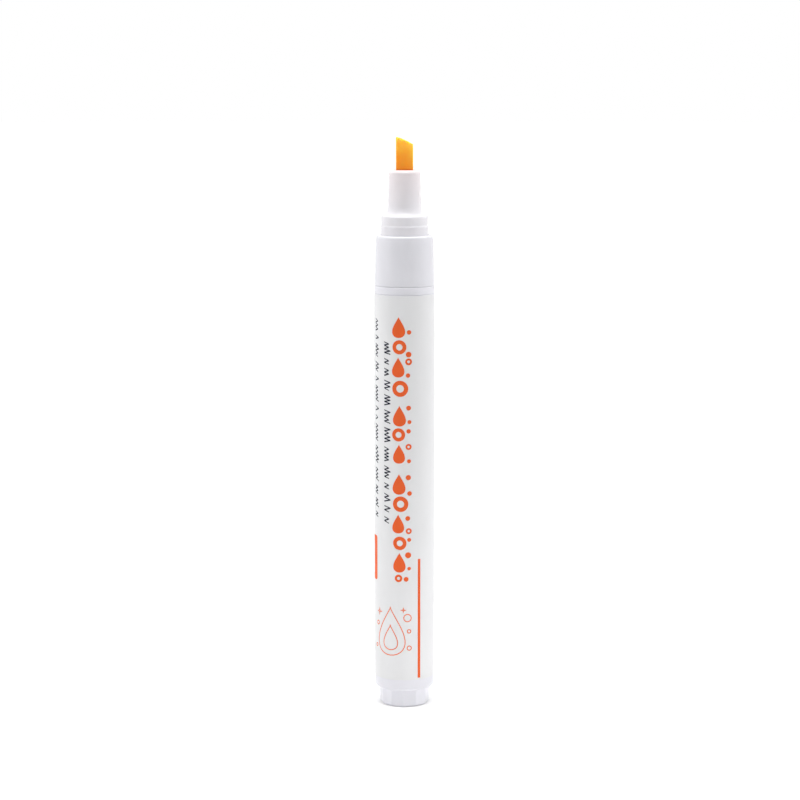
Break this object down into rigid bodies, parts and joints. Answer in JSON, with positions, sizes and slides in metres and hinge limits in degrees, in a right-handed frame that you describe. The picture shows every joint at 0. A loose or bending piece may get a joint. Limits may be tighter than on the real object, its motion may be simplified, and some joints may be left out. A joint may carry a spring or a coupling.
{
  "type": "stain remover pen",
  "caption": "Uncapped marker-style pen with a slanted bar nib on a stepped nozzle, a label round its barrel and a faceted end plug; pressing the nib opens a sprung valve.",
  "frame": {"origin": "centre of the end plug's flat foot, on the pen's axis", "axes": "+Z along the pen's axis towards the nib, -Y towards the broad face of the nib and the front of the label, +X to the right of that view"},
  "size_m": [0.0149, 0.015, 0.1424],
  "materials": {
    "white_plastic": "satin white moulded polypropylene",
    "label_film": "smooth matt white film",
    "nib_fibre": "bonded polyester fibre, soaked orange",
    "seal_rubber": "soft pale grey",
    "valve_plastic": "natural milky plastic",
    "spring_steel": "bright drawn stainless wire"
  },
  "bodies": {
    "pen": {"barrel": "white_plastic", "label": "label_film", "rear_plug": "white_plastic", "grip_sleeve": "white_plastic", "nozzle": "white_plastic", "neck_gasket": "seal_rubber", "valve_housing": "valve_plastic", "spring_cage": "valve_plastic", "valve_spring": "spring_steel"},
    "valve": {"valve_stem": "valve_plastic", "nib_cup": "valve_plastic", "valve_seal": "seal_rubber"},
    "nib": {"nib": "nib_fibre"}
  },
  "joints": [
    {"name": "valve_press", "type": "slide", "parent": "pen", "child": "valve", "axis": [0, 0, -1], "range_m": [0, 0.0025], "stiffness_N_per_m": 800, "springref_m": -0.0025, "deforming": ["valve_spring"]},
    {"name": "nib_pull", "type": "slide", "parent": "valve", "child": "nib", "axis": [0, 0, 1], "range_m": [0, 0.02]}
  ]
}
